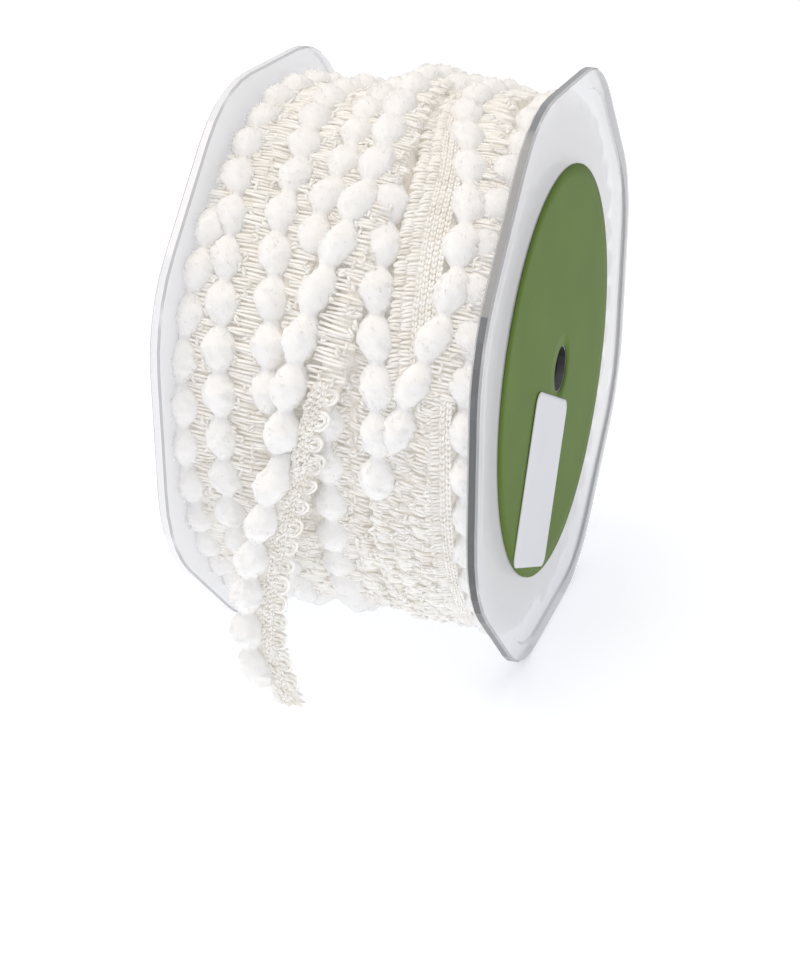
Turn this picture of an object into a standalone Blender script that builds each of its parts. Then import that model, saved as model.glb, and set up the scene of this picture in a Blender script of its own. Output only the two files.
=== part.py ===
"""Pompom fringe trim wound on a clear plastic spool, with its loose end hanging in front.

The spool lies along X and rests on the flats of its two octagonal ends. Angles round the roll are
degrees from the front (-Y), rising over the top (+Z at 90), so 180 is the back and 270 the bottom.
"""

import math

import bmesh
import bpy
from mathutils import Vector

MM = 0.001

# Spool ends: rounded octagons, four inches across the flats
END_ACROSS_FLATS = 100.0
END_CORNER_RADIUS = 25.0
END_THICKNESS = 1.4
END_EDGE_ROUNDING = 0.35
END_BAND_WIDTH = 3.2
END_BAND_HEIGHT = 0.4
CORNER_STEPS = 5
SPACE_BETWEEN_ENDS = 50.8
HOLE_DIAMETER = 8.0
AXIS_HEIGHT = END_ACROSS_FLATS / 2

# Hub tube between the ends
HUB_RADIUS = 19.0
HUB_WALL = 1.5
HUB_SIDES = 48

# Parts that touch in the real object stay this far apart
SEAT_GAP = 0.3

# Trim: a string of pompoms on the left edge, a gimp braid on the right edge
POMPOM_RADIUS = 2.75
NECK_RADIUS = 1.1
POMPOMS_PER_TURN = 39
BRAID_THICKNESS = 1.7

# Roll: radii of the wound ground and of the pompom centres on its two outer layers
ROLL_BORE_RADIUS = HUB_RADIUS + SEAT_GAP
GROUND_RADIUS = 44.4
LAYER_POMPOM_RADIUS = {"lower": 44.6, "upper": 45.9}
LAYER_BRAID_RADIUS = {"lower": 45.9, "upper": 46.9}
LAST_TURN_LIFT = 1.5
ROLL_SIDE_GAP = 0.3
ROLL_HALF_WIDTH = SPACE_BETWEEN_ENDS / 2 - ROLL_SIDE_GAP
LEAST_COLUMN_STEP = 0.35

# Where the roll's surface has points: across a turn, as shares of the pompom's radius and of half
# the braid's width, and along it, as shares of the way from one neck to the next
POMPOM_COLUMNS = (-0.6, 0.6)
BRAID_COLUMNS = (-0.8, 0.8)
POMPOM_STEPS = (0.0, 0.25, 0.75)

# The outer turns, from left to right. pompom_x and braid_x are the places along the spool, in mm,
# of the pompom string and of the braid's middle at each of TURN_ANGLES. Each turn ends, at the
# bottom, where the next one starts. pompom_at is where its pompoms stand, as a share of the way
# from one neck to the next. They show where the angle is inside one of the shown ranges;
# elsewhere a later turn covers them.
TURN_ANGLES = (-90, -45, -20, 0, 15, 30, 45, 60, 75, 90, 140, 200, 270)
TURNS = (
    {
        "turn": "left_end", "layer": "lower", "pompom_at": 0.30, "braid_width": 3.6,
        "pompom_x": (-24.2, -24.2, -24.2, -24.2, -24.2, -23.6, -23.0, -22.6, -22.4, -22.4,
                     -22.4, -21.4, -18.4),
        "braid_x": (-22.6, -21.0, -20.4, -20.3, -20.9, -21.6, -21.6, -21.4, -21.0, -20.6,
                    -18.8, -17.4, -14.3),
        "shown": ((-90, 46), (110, 270)),
    },
    {
        "turn": "second", "layer": "lower", "pompom_at": 0.66, "braid_width": 4.4,
        "pompom_x": (-18.4, -17.6, -17.3, -17.3, -18.0, -18.7, -20.2, -21.7, -22.3, -22.0,
                     -19.4, -16.0, -11.6),
        "braid_x": (-14.3, -13.8, -13.2, -12.0, -12.4, -13.2, -15.3, -16.5, -17.2, -17.0,
                    -14.0, -11.0, -7.4),
        "shown": ((-90, 270),),
    },
    {
        "turn": "third", "layer": "lower", "pompom_at": 0.86, "braid_width": 3.0,
        "pompom_x": (-11.6, -10.5, -9.6, -9.0, -9.6, -10.3, -11.8, -11.9, -13.4, -13.6,
                     -11.6, -8.8, -4.4),
        "braid_x": (-7.4, -5.5, -4.4, -4.0, -4.4, -5.4, -6.8, -7.8, -8.5, -8.6,
                    -6.5, -4.0, 0.0),
        "shown": ((-90, -21), (6, 270)),
    },
    {
        "turn": "fourth", "layer": "lower", "pompom_at": 0.40, "braid_width": 4.4,
        "pompom_x": (-4.4, -0.5, 0.6, 1.0, 0.2, -3.6, -5.6, -4.6, -5.1, -5.6,
                     -4.0, -1.5, 3.0),
        "braid_x": (0.0, 3.4, 4.8, 5.6, 5.3, 4.4, 1.0, 0.0, -0.4, -0.6,
                    0.8, 3.0, 6.8),
        "shown": ((-90, 8), (36, 270)),
    },
    {
        "turn": "last", "layer": "upper", "pompom_at": 0.10, "braid_width": 4.2,
        "pompom_x": (3.0, 0.0, -5.6, -6.1, -4.3, -2.2, 0.8, 2.5, 1.4, 0.4,
                     1.8, 5.0, 9.6),
        "braid_x": (6.8, 4.0, -1.4, -1.7, 1.6, 3.5, 4.8, 4.6, 4.0, 3.6,
                    6.0, 9.6, 13.8),
        "shown": ((1, 270),),
    },
    {
        "turn": "sixth", "layer": "upper", "pompom_at": 0.30, "braid_width": 6.4,
        "pompom_x": (9.6, 9.0, 9.4, 9.9, 9.2, 7.3, 6.2, 5.2, 5.4, 5.6,
                     8.0, 12.0, 15.3),
        "braid_x": (13.8, 13.4, 13.4, 14.2, 14.3, 13.4, 12.6, 11.8, 9.4, 8.4,
                    12.0, 16.2, 19.4),
        "shown": ((-5, 60), (95, 270)),
    },
    {
        "turn": "seventh", "layer": "upper", "pompom_at": 0.44, "braid_width": 4.4,
        "pompom_x": (15.3, 14.0, 12.6, 11.8, 15.0, 18.7, 19.2, 16.9, 12.8, 11.0,
                     14.0, 17.6, 21.2),
        "braid_x": (19.4, 19.4, 19.6, 19.7, 19.5, 22.0, 22.4, 20.8, 17.9, 15.4,
                    18.6, 21.4, 22.8),
        "shown": ((3, 270),),
    },
    {
        "turn": "right_end", "layer": "lower", "pompom_at": 0.55, "braid_width": 1.0,
        "pompom_x": (21.2, 23.2, 23.8, 23.8, 23.2, 22.6, 22.4, 22.4, 22.4, 22.4,
                     22.6, 23.0, 24.2),
        "braid_x": (22.8, 24.4, 24.6, 24.6, 24.5, 24.4, 24.4, 24.4, 24.4, 24.4,
                    24.4, 24.5, 24.7),
        "shown": ((-90, 270),),
    },
)

# Loose end: places of its pompom string as it hangs, from where it leaves the roll to its cut.
# lean is how far the string lies in front of the spool's axis.
LOOSE_END_PATH = (
    {"z": 47.5, "x": -6.1, "lean": 47.9},
    {"z": 44.0, "x": -7.2, "lean": 48.3},
    {"z": 36.7, "x": -9.6, "lean": 48.3},
    {"z": 29.0, "x": -11.6, "lean": 47.6},
    {"z": 21.1, "x": -13.2, "lean": 46.8},
    {"z": 13.1, "x": -13.6, "lean": 46.3},
    {"z": 6.1, "x": -11.8, "lean": 46.2},
    {"z": 1.6, "x": -10.4, "lean": 46.2},
)
LOOSE_END_POMPOMS = 6
LOOSE_END_STEPS_PER_POMPOM = 6
LOOSE_END_FIRST_POMPOM = 0.5
BRAID_OFFSET = 4.7
LOOSE_END_BRAID_WIDTH = 4.4
SCALLOPS_PER_POMPOM = 2
SCALLOP_DEPTH = 0.35
POMPOM_ARC_POINTS = 9

# Paper label and sticker on the right-hand end
LABEL_RADIUS = 36.0
LABEL_CENTRE = (-2.1, 0.1)
LABEL_HOLE_RADIUS = 4.2
LABEL_THICKNESS = 0.25
LABEL_SIDES = 64
STICKER_SIZE = (23.0, 30.0)
STICKER_CENTRE = (-11.6, -16.6)
STICKER_TURN = -25.5
STICKER_TOP_CORNER = 3.0
STICKER_BOTTOM_CORNER = 1.2


def clear_scene():
    for obj in list(bpy.data.objects):
        bpy.data.objects.remove(obj, do_unlink=True)


def material(name, colour, roughness, transmission=0.0):
    made = bpy.data.materials.new(name)
    made.use_nodes = True
    shader = made.node_tree.nodes["Principled BSDF"]
    shader.inputs["Base Color"].default_value = (*colour, 1.0)
    shader.inputs["Roughness"].default_value = roughness
    shader.inputs["Metallic"].default_value = 0.0
    shader.inputs["Transmission Weight"].default_value = transmission
    return made


def add_object(name, bm, made_of, smooth_angle=None):
    """A mesh object of the bmesh, whose points are in mm from the middle of the spool's axis."""
    bmesh.ops.recalc_face_normals(bm, faces=bm.faces)
    mesh = bpy.data.meshes.new(name)
    bmesh.ops.scale(bm, vec=(MM, MM, MM), verts=bm.verts)
    bm.to_mesh(mesh)
    bm.free()
    mesh.materials.append(made_of)
    if smooth_angle is not None:
        mesh.shade_smooth()
        mesh.set_sharp_from_angle(angle=math.radians(smooth_angle))
    obj = bpy.data.objects.new(name, mesh)
    obj.location = (0, 0, AXIS_HEIGHT * MM)
    bpy.context.scene.collection.objects.link(obj)
    return obj


def smooth_track(knots, values, at):
    """The value at one place along a smooth curve through the knots."""
    last = len(knots) - 1
    i = max(0, min(last - 1, sum(1 for knot in knots if knot <= at) - 1))
    step = knots[i + 1] - knots[i]
    t = (at - knots[i]) / step

    def slope(k):
        before, after = max(k - 1, 0), min(k + 1, last)
        return (values[after] - values[before]) / (knots[after] - knots[before])

    return (
        (2 * t**3 - 3 * t**2 + 1) * values[i]
        + (t**3 - 2 * t**2 + t) * step * slope(i)
        + (3 * t**2 - 2 * t**3) * values[i + 1]
        + (t**3 - t**2) * step * slope(i + 1)
    )


def bridge(bm, first, second):
    """Faces between two closed rings of as many points, where a ring may repeat a point."""
    count = len(first)
    for i in range(count):
        j = (i + 1) % count
        corners = list(dict.fromkeys((first[i], first[j], second[j], second[i])))
        if len(corners) > 2:
            bm.faces.new(corners)


def octagon_outline(inset):
    """Points of the rounded octagon, drawn in by inset, as (y, z) from the axis."""
    radius = max(END_CORNER_RADIUS - inset, 0.5)
    to_centre = (END_ACROSS_FLATS / 2 - inset - radius) / math.cos(math.radians(22.5))
    points = []
    for corner in range(8):
        middle = math.radians(22.5 + 45 * corner)
        for step in range(CORNER_STEPS + 1):
            turn = middle + math.radians(45 * (step / CORNER_STEPS - 0.5))
            points.append((
                to_centre * math.cos(middle) + radius * math.cos(turn),
                to_centre * math.sin(middle) + radius * math.sin(turn),
            ))
    return points


def round_outline(radius, like):
    """Points of a circle in the directions of another outline's points."""
    directions = [math.atan2(z, y) for y, z in like]
    return [(radius * math.cos(a), radius * math.sin(a)) for a in directions]


def spool_end(name, side, plastic):
    """One clear end. side is -1 for the left one and 1 for the right one."""
    inner = SPACE_BETWEEN_ENDS / 2
    outer = inner + END_THICKNESS
    band = outer + END_BAND_HEIGHT
    edge = octagon_outline(0)
    hole = round_outline(HOLE_DIAMETER / 2, edge)
    drawn_in = octagon_outline(END_EDGE_ROUNDING)
    band_top = octagon_outline(END_BAND_WIDTH)
    band_foot = octagon_outline(END_BAND_WIDTH + END_BAND_HEIGHT)
    section = (
        (inner, hole),
        (inner, drawn_in),
        (inner + END_EDGE_ROUNDING, edge),
        (band - END_EDGE_ROUNDING, edge),
        (band, drawn_in),
        (band, band_top),
        (outer, band_foot),
        (outer, hole),
    )
    bm = bmesh.new()
    rings = [[bm.verts.new((side * x, y, z)) for y, z in outline] for x, outline in section]
    for ring, following in zip(rings, rings[1:] + rings[:1]):
        bridge(bm, ring, following)
    add_object(name, bm, plastic, smooth_angle=30)


def turned_tube(bm, inner_radius, outer_radius, half_length, sides):
    section = (
        (-half_length, inner_radius),
        (-half_length, outer_radius),
        (half_length, outer_radius),
        (half_length, inner_radius),
    )
    rings = []
    for x, radius in section:
        ring = []
        for i in range(sides):
            angle = 2 * math.pi * i / sides
            ring.append(bm.verts.new((x, radius * math.cos(angle), radius * math.sin(angle))))
        rings.append(ring)
    for ring, following in zip(rings, rings[1:] + rings[:1]):
        bridge(bm, ring, following)


def hub_tube(plastic):
    bm = bmesh.new()
    half_length = SPACE_BETWEEN_ENDS / 2 - SEAT_GAP
    turned_tube(bm, HUB_RADIUS - HUB_WALL, HUB_RADIUS, half_length, HUB_SIDES)
    add_object("spool_hub", bm, plastic, smooth_angle=30)


def last_turn_lift(angle):
    """How far the last turn rides above its layer: all of it in front, none at the bottom."""
    return LAST_TURN_LIFT * max(0.0, min(1.0, (250 - angle) / 90))


def turn_lift(turn, angle):
    return last_turn_lift(angle) if turn["turn"] == "last" else 0.0


def is_shown(turn, angle):
    return any(first <= angle <= last for first, last in turn["shown"])


def pompom_string_height(turn, angle, x):
    """Radius of the pompom string's surface at this place, or 0 beside it."""
    across = x - smooth_track(TURN_ANGLES, turn["pompom_x"], angle)
    spacing = 360 / POMPOMS_PER_TURN
    nearest = round((angle - TURN_ANGLES[0]) / spacing - turn["pompom_at"])
    centre_angle = TURN_ANGLES[0] + (nearest + turn["pompom_at"]) * spacing
    if not is_shown(turn, centre_angle):
        return 0.0
    centre = LAYER_POMPOM_RADIUS[turn["layer"]] + turn_lift(turn, angle)
    along = math.radians(angle - centre_angle) * centre
    swelling = max(POMPOM_RADIUS**2 - along**2, NECK_RADIUS**2) - across**2
    return centre + math.sqrt(swelling) if swelling > 0 else 0.0


def braid_height(turn, angle, x):
    """Radius of the braid's surface at this place, or 0 beside it."""
    if turn["turn"] == "last" and angle < 0:
        return 0.0
    across = abs(x - smooth_track(TURN_ANGLES, turn["braid_x"], angle))
    half = turn["braid_width"] / 2
    if across >= half:
        return 0.0
    top = LAYER_BRAID_RADIUS[turn["layer"]] + turn_lift(turn, angle)
    return top - 0.5 * (across / half) ** 2


def roll_radius(angle, x):
    heights = [GROUND_RADIUS]
    for turn in TURNS:
        heights.append(pompom_string_height(turn, angle, x))
        heights.append(braid_height(turn, angle, x))
    return max(heights)


def roll_columns(turns, angle):
    """Places along the spool where the roll's surface has points, which follow the turns."""
    places = []
    for turn in turns:
        middle = smooth_track(TURN_ANGLES, turn["pompom_x"], angle)
        places += [middle + share * POMPOM_RADIUS for share in POMPOM_COLUMNS]
        middle = smooth_track(TURN_ANGLES, turn["braid_x"], angle)
        places += [middle + share * turn["braid_width"] / 2 for share in BRAID_COLUMNS]
    places = [-ROLL_HALF_WIDTH] + sorted(places) + [ROLL_HALF_WIDTH]
    for i in range(1, len(places)):
        places[i] = max(places[i], places[i - 1] + LEAST_COLUMN_STEP)
    places[-1] = ROLL_HALF_WIDTH
    for i in range(len(places) - 2, 0, -1):
        places[i] = min(places[i], places[i + 1] - LEAST_COLUMN_STEP)
    return places


def roll_line(bm, turns, angle):
    """Points of the roll's cross-section at one angle, from the bore over the turns to the bore."""
    front, up = -math.cos(math.radians(angle)), math.sin(math.radians(angle))
    places = [(-ROLL_HALF_WIDTH, ROLL_BORE_RADIUS)]
    places += [(x, roll_radius(angle, x)) for x in roll_columns(turns, angle)]
    places += [(ROLL_HALF_WIDTH, ROLL_BORE_RADIUS)]
    return [bm.verts.new((x, radius * front, radius * up)) for x, radius in places]


def trim_roll(yarn):
    """The wound form. At the bottom each turn runs on into the next: the first one starts there
    from the left edge, and the last one ends there in the right edge."""
    columns_per_turn = len(POMPOM_COLUMNS) + len(BRAID_COLUMNS)
    places = [pompom + share for pompom in range(POMPOMS_PER_TURN) for share in POMPOM_STEPS]
    bm = bmesh.new()
    bottom = roll_line(bm, TURNS[1:], TURN_ANGLES[0])
    lines = [[bottom[0]] + [bottom[1]] * columns_per_turn + bottom[1:]]
    for place in places[1:]:
        lines.append(roll_line(bm, TURNS, TURN_ANGLES[0] + 360 * place / POMPOMS_PER_TURN))
    lines.append(bottom[:-1] + [bottom[-2]] * columns_per_turn + [bottom[-1]])
    for line, following in zip(lines, lines[1:]):
        bridge(bm, line, following)
    add_object("trim_roll", bm, yarn, smooth_angle=60)


def loose_end_section(pompom_radius, braid_reach):
    """Outline across the strip, as (along the strip's width, towards its front)."""
    half = BRAID_THICKNESS / 2
    meets = math.asin(min(1.0, half / pompom_radius))
    points = []
    for i in range(POMPOM_ARC_POINTS):
        turn = meets + (2 * math.pi - 2 * meets) * i / (POMPOM_ARC_POINTS - 1)
        points.append((pompom_radius * math.cos(turn), pompom_radius * math.sin(turn)))
    braid_start = BRAID_OFFSET - LOOSE_END_BRAID_WIDTH / 2
    points += [
        (braid_start + 1.0, -half),
        (braid_reach - 0.4, -half),
        (braid_reach, 0.0),
        (braid_reach - 0.4, half),
        (braid_start + 1.0, half),
    ]
    return points


def loose_end(yarn):
    """The hanging strip: one lofted form, its left edge swelling into pompoms."""
    depths = [row["z"] for row in LOOSE_END_PATH]
    knots = [depths[0] - depth for depth in depths]
    pitch = knots[-1] / (LOOSE_END_POMPOMS + 0.4)
    steps = round(knots[-1] / pitch * LOOSE_END_STEPS_PER_POMPOM)
    bm = bmesh.new()
    rings = []
    for step in range(steps + 1):
        down = knots[-1] * step / steps
        x = smooth_track(knots, [row["x"] for row in LOOSE_END_PATH], down)
        lean = smooth_track(knots, [row["lean"] for row in LOOSE_END_PATH], down)
        place = down / pitch - LOOSE_END_FIRST_POMPOM
        along = (place - round(place)) * pitch
        radius = math.sqrt(max(POMPOM_RADIUS**2 - along**2, NECK_RADIUS**2))
        scallop = SCALLOP_DEPTH * math.cos(2 * math.pi * SCALLOPS_PER_POMPOM * place)
        reach = BRAID_OFFSET + LOOSE_END_BRAID_WIDTH / 2 + scallop
        ring = []
        for across, forward in loose_end_section(radius, reach):
            ring.append(bm.verts.new((x + across, -lean - forward, depths[0] - down - AXIS_HEIGHT)))
        rings.append(ring)
    for ring, following in zip(rings, rings[1:]):
        bridge(bm, ring, following)
    bm.faces.new(rings[0])
    bm.faces.new(rings[-1])
    add_object("trim_end", bm, yarn, smooth_angle=60)


def paper_plate(name, outline, lowest_x, holes_like, paper):
    """A thin flat plate of paper, with a round hole where holes_like is given."""
    bm = bmesh.new()
    rings = []
    for x in (lowest_x, lowest_x + LABEL_THICKNESS):
        rings.append([bm.verts.new((x, y, z)) for y, z in outline])
    bridge(bm, rings[0], rings[1])
    if holes_like is None:
        bm.faces.new(rings[0])
        bm.faces.new(rings[1])
    else:
        hole = round_outline(LABEL_HOLE_RADIUS, outline)
        inner = []
        for x in (lowest_x, lowest_x + LABEL_THICKNESS):
            inner.append([bm.verts.new((x, y, z)) for y, z in hole])
        bridge(bm, inner[0], inner[1])
        bridge(bm, rings[0], inner[0])
        bridge(bm, rings[1], inner[1])
    add_object(name, bm, paper, smooth_angle=30)


def label_disc(paper):
    outline = []
    for i in range(LABEL_SIDES):
        angle = 2 * math.pi * i / LABEL_SIDES
        outline.append((
            LABEL_CENTRE[0] + LABEL_RADIUS * math.cos(angle),
            LABEL_CENTRE[1] + LABEL_RADIUS * math.sin(angle),
        ))
    lowest = SPACE_BETWEEN_ENDS / 2 + END_THICKNESS + SEAT_GAP
    paper_plate("label_disc", outline, lowest, True, paper)


def label_sticker(paper):
    half_width, half_height = STICKER_SIZE[0] / 2, STICKER_SIZE[1] / 2
    corners = (
        (half_width, half_height, STICKER_TOP_CORNER, 0),
        (-half_width, half_height, STICKER_TOP_CORNER, 90),
        (-half_width, -half_height, STICKER_BOTTOM_CORNER, 180),
        (half_width, -half_height, STICKER_BOTTOM_CORNER, 270),
    )
    turn = math.radians(STICKER_TURN)
    outline = []
    for across, up, radius, start in corners:
        centre = Vector((across - math.copysign(radius, across), up - math.copysign(radius, up)))
        for step in range(5):
            angle = math.radians(start + 90 * step / 4)
            y = centre.x + radius * math.cos(angle)
            z = centre.y + radius * math.sin(angle)
            outline.append((
                STICKER_CENTRE[0] + y * math.cos(turn) - z * math.sin(turn),
                STICKER_CENTRE[1] + y * math.sin(turn) + z * math.cos(turn),
            ))
    lowest = SPACE_BETWEEN_ENDS / 2 + END_THICKNESS + 2 * SEAT_GAP + LABEL_THICKNESS
    paper_plate("label_sticker", outline, lowest, None, paper)


def main():
    clear_scene()
    bpy.context.scene.unit_settings.system = "METRIC"
    clear_plastic = material("clear polystyrene", (0.82, 0.84, 0.88), 0.08, transmission=0.9)
    yarn = material("white polyester yarn", (0.88, 0.87, 0.83), 0.8)
    green_paper = material("green label paper", (0.13, 0.21, 0.06), 0.6)
    white_paper = material("white sticker paper", (0.70, 0.73, 0.77), 0.5)
    spool_end("flange_left", -1, clear_plastic)
    spool_end("flange_right", 1, clear_plastic)
    hub_tube(clear_plastic)
    trim_roll(yarn)
    loose_end(yarn)
    label_disc(green_paper)
    label_sticker(white_paper)


main()
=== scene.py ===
"""Looks of a pompom fringe trim wound on a clear plastic spool, its loose end hanging in front.

Points are worked out in millimetres from the middle of the spool's axis and turned into metres when
a mesh is made. Angles round the roll are degrees from the front (-Y), rising over the top (90), so
180 is the back and 270 the bottom. A strip is a function that takes places along a trim, across it
and above it, in mm, to points of the spool, so that all the yarn work is laid out flat and then wound.
"""

import math

import bpy
import numpy as np
from mathutils import Matrix, Vector


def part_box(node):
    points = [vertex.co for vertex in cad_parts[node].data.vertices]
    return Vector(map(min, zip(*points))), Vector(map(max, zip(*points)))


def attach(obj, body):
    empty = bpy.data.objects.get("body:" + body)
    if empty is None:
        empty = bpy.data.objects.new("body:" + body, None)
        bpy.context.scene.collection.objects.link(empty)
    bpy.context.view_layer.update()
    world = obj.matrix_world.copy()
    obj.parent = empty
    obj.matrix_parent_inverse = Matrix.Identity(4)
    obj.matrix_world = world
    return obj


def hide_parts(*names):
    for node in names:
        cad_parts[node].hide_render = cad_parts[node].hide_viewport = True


bl_info = {
    "name": "Pompom fringe trim on a spool",
    "version": (1, 0, 0),
    "blender": (4, 5, 0),
    "location": "View3D > Sidebar > Trim",
    "description": "Fluff pompoms, gimp braid, clear spool and paper label of a wound pompom fringe trim",
    "category": "Object",
}

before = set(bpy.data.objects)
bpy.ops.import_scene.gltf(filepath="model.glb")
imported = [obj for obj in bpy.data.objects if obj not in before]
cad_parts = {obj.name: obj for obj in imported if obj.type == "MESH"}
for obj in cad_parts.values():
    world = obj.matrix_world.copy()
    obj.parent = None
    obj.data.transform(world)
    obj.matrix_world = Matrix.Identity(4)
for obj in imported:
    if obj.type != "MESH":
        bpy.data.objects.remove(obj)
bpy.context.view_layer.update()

MM = 0.001

# Places read from the frame, in metres
END_LOW, END_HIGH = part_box("flange_right")
AXIS_HEIGHT = (END_LOW.z + END_HIGH.z) / 2

# Half width of the roll, height of the raised border band of the ends and place of the face inside
# it, in mm
ROLL_HALF_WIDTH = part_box("trim_roll")[1].x / MM
END_BAND_HEIGHT = 0.4
END_FACE = END_HIGH.x / MM - END_BAND_HEIGHT

# Roll: radii of the bore, of the wound ground and of the pompom strings and braid tops, in mm
BORE_RADIUS = 19.3
GROUND_RADIUS = 44.4
LAYER_POMPOM_RADIUS = {"lower": 44.6, "upper": 45.9}
LAYER_BRAID_RADIUS = {"lower": 45.9, "upper": 46.9}
LAST_TURN_LIFT = 1.5
LAST_BRAID_START = -2.5
LAST_LACE_END = 13
POMPOMS_PER_TURN = 39
TURN_START = -90

# Pompoms: rings and sides of one pompom's mesh, fibres that stand out of it, waves of lumps round it,
# and how full its ends are, from 1 for a spindle down to 0 for a cylinder
POMPOM_RINGS = 14
POMPOM_SIDES = 26
FIBRES_PER_POMPOM = 40
LUMPS_ROUND_POMPOM = (2, 3, 5, 7)
POMPOM_ROUNDNESS = 0.46

# Braid: how blunt a loop's bend is, and how far its hairpins reach under the pompoms and past its
# right edge, and how wide a column of them is, in mm
LOOP_BLUNTNESS = 0.6
HAIRPIN_REACH = {"left": 1.4, "right": 0.3}
HAIRPIN_COLUMN = 3.0

# The loops of one lace lobe: how wide each is, how far it reaches and how far it leans, in mm
LOBE_LOOPS = (
    {"wide": 2.9, "far": 2.15, "lean": 0.0},
    {"wide": 1.5, "far": 1.55, "lean": 0.1},
    {"wide": 0.8, "far": 1.3, "lean": -0.95},
    {"wide": 0.8, "far": 1.3, "lean": 0.95},
)

# The outer turns, from left to right: places along the spool, in mm, of the pompom string and of the
# braid's middle at each of TURN_ANGLES, and the angles between which a turn isn't covered by a later
# one. They are those of the part's own source, but for the braids of the fourth and sixth turns, which
# are wider here, so that no bare ground shows beside them. knitted says where a braid lies flat, so
# that its stitches show; elsewhere its loops do.
TURN_ANGLES = (-90, -45, -20, 0, 15, 30, 45, 60, 75, 90, 140, 200, 270)
TURNS = (
    {
        "turn": "left_end", "layer": "lower", "pompom_at": 0.30, "braid_width": 3.6,
        "pompom_x": (-24.2, -24.2, -24.2, -24.2, -24.2, -23.6, -23.0, -22.6, -22.4, -22.4,
                     -22.4, -21.4, -18.4),
        "braid_x": (-22.6, -21.0, -20.4, -20.3, -20.9, -21.6, -21.6, -21.4, -21.0, -20.6,
                    -18.8, -17.4, -14.3),
        "knitted": (),
        "shown": ((-90, 46), (110, 270)),
    },
    {
        "turn": "second", "layer": "lower", "pompom_at": 0.66, "braid_width": 4.4,
        "pompom_x": (-18.4, -17.6, -17.3, -17.3, -18.0, -18.7, -20.2, -21.7, -22.3, -22.0,
                     -19.4, -16.0, -11.6),
        "braid_x": (-14.3, -13.8, -13.2, -12.0, -12.4, -13.2, -15.3, -16.5, -17.2, -17.0,
                    -14.0, -11.0, -7.4),
        "knitted": (),
        "shown": ((-90, 270),),
    },
    {
        "turn": "third", "layer": "lower", "pompom_at": 0.86, "braid_width": 3.0,
        "pompom_x": (-11.6, -10.5, -9.6, -9.0, -9.6, -10.3, -11.8, -11.9, -13.4, -13.6,
                     -11.6, -8.8, -4.4),
        "braid_x": (-7.4, -5.5, -4.4, -4.0, -4.4, -5.4, -6.8, -7.8, -8.5, -8.6,
                    -6.5, -4.0, 0.0),
        "knitted": (),
        "shown": ((-90, -21), (6, 270)),
    },
    {
        "turn": "fourth", "layer": "lower", "pompom_at": 0.40, "braid_width": 5.2,
        "pompom_x": (-4.4, -0.5, 0.6, 1.0, 0.2, -3.6, -5.6, -4.6, -5.1, -5.6,
                     -4.0, -1.5, 3.0),
        "braid_x": (0.0, 3.4, 4.8, 5.6, 5.3, 4.4, 1.0, 0.0, -0.4, -0.6,
                    0.8, 3.0, 6.8),
        "knitted": (),
        "shown": ((-90, 8), (36, 270)),
    },
    {
        "turn": "last", "layer": "upper", "pompom_at": 0.10, "braid_width": 4.2,
        "pompom_x": (3.0, 0.0, -5.6, -6.1, -4.3, -2.2, 0.8, 2.5, 1.4, 0.4,
                     1.8, 5.0, 9.6),
        "braid_x": (6.8, 4.0, -1.4, -1.7, 1.6, 3.5, 4.8, 4.6, 4.0, 3.6,
                    6.0, 9.6, 13.8),
        "knitted": (),
        "shown": ((1, 270),),
    },
    {
        "turn": "sixth", "layer": "upper", "pompom_at": 0.30, "braid_width": 8.0,
        "pompom_x": (9.6, 9.0, 9.4, 9.9, 9.2, 7.3, 6.2, 5.2, 5.4, 5.6,
                     8.0, 12.0, 15.3),
        "braid_x": (13.8, 13.4, 13.4, 14.2, 14.3, 13.4, 12.6, 11.8, 9.4, 8.4,
                    12.0, 16.2, 19.4),
        "knitted": ((14, 84),),
        "shown": ((-5, 60), (95, 270)),
    },
    {
        "turn": "seventh", "layer": "upper", "pompom_at": 0.44, "braid_width": 4.4,
        "pompom_x": (15.3, 14.0, 12.6, 11.8, 15.0, 18.7, 19.2, 16.9, 12.8, 11.0,
                     14.0, 17.6, 21.2),
        "braid_x": (19.4, 19.4, 19.6, 19.7, 19.5, 22.0, 22.4, 20.8, 17.9, 15.4,
                    18.6, 21.4, 22.8),
        "knitted": ((-90, 12),),
        "shown": ((3, 270),),
    },
    {
        "turn": "right_end", "layer": "lower", "pompom_at": 0.55, "braid_width": 1.0,
        "pompom_x": (21.2, 23.2, 23.8, 23.8, 23.2, 22.6, 22.4, 22.4, 22.4, 22.4,
                     22.6, 23.0, 24.2),
        "braid_x": (22.8, 24.4, 24.6, 24.6, 24.5, 24.4, 24.4, 24.4, 24.4, 24.4,
                    24.4, 24.5, 24.7),
        "shown": ((-90, 270),),
    },
)

# Loose end, as in the part's own source: height of its pompom string, its place along the spool and
# how far it lies in front of the axis, from where it leaves the roll to its cut
LOOSE_END_PATH = (
    {"z": 47.5, "x": -6.1, "lean": 47.9},
    {"z": 44.0, "x": -7.2, "lean": 48.3},
    {"z": 36.7, "x": -9.6, "lean": 48.3},
    {"z": 29.0, "x": -11.6, "lean": 47.6},
    {"z": 21.1, "x": -13.2, "lean": 46.8},
    {"z": 13.1, "x": -13.6, "lean": 46.3},
    {"z": 6.1, "x": -11.8, "lean": 46.2},
    {"z": 1.6, "x": -10.4, "lean": 46.2},
)
LOOSE_END_POMPOMS = 6
LOOSE_END_SPARE = 0.4
BRAID_OFFSET = 4.7
LOOSE_END_BRAID_WIDTH = 4.4

# Paper label and sticker on the right-hand end, as in the part's own source
LABEL_RADIUS = 36.0
LABEL_CENTRE = (-2.1, 0.1)
LABEL_HOLE_RADIUS = 4.2
STICKER_SIZE = (23.0, 30.0)
STICKER_CENTRE = (-11.6, -16.6)
STICKER_TURN = -25.5

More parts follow.
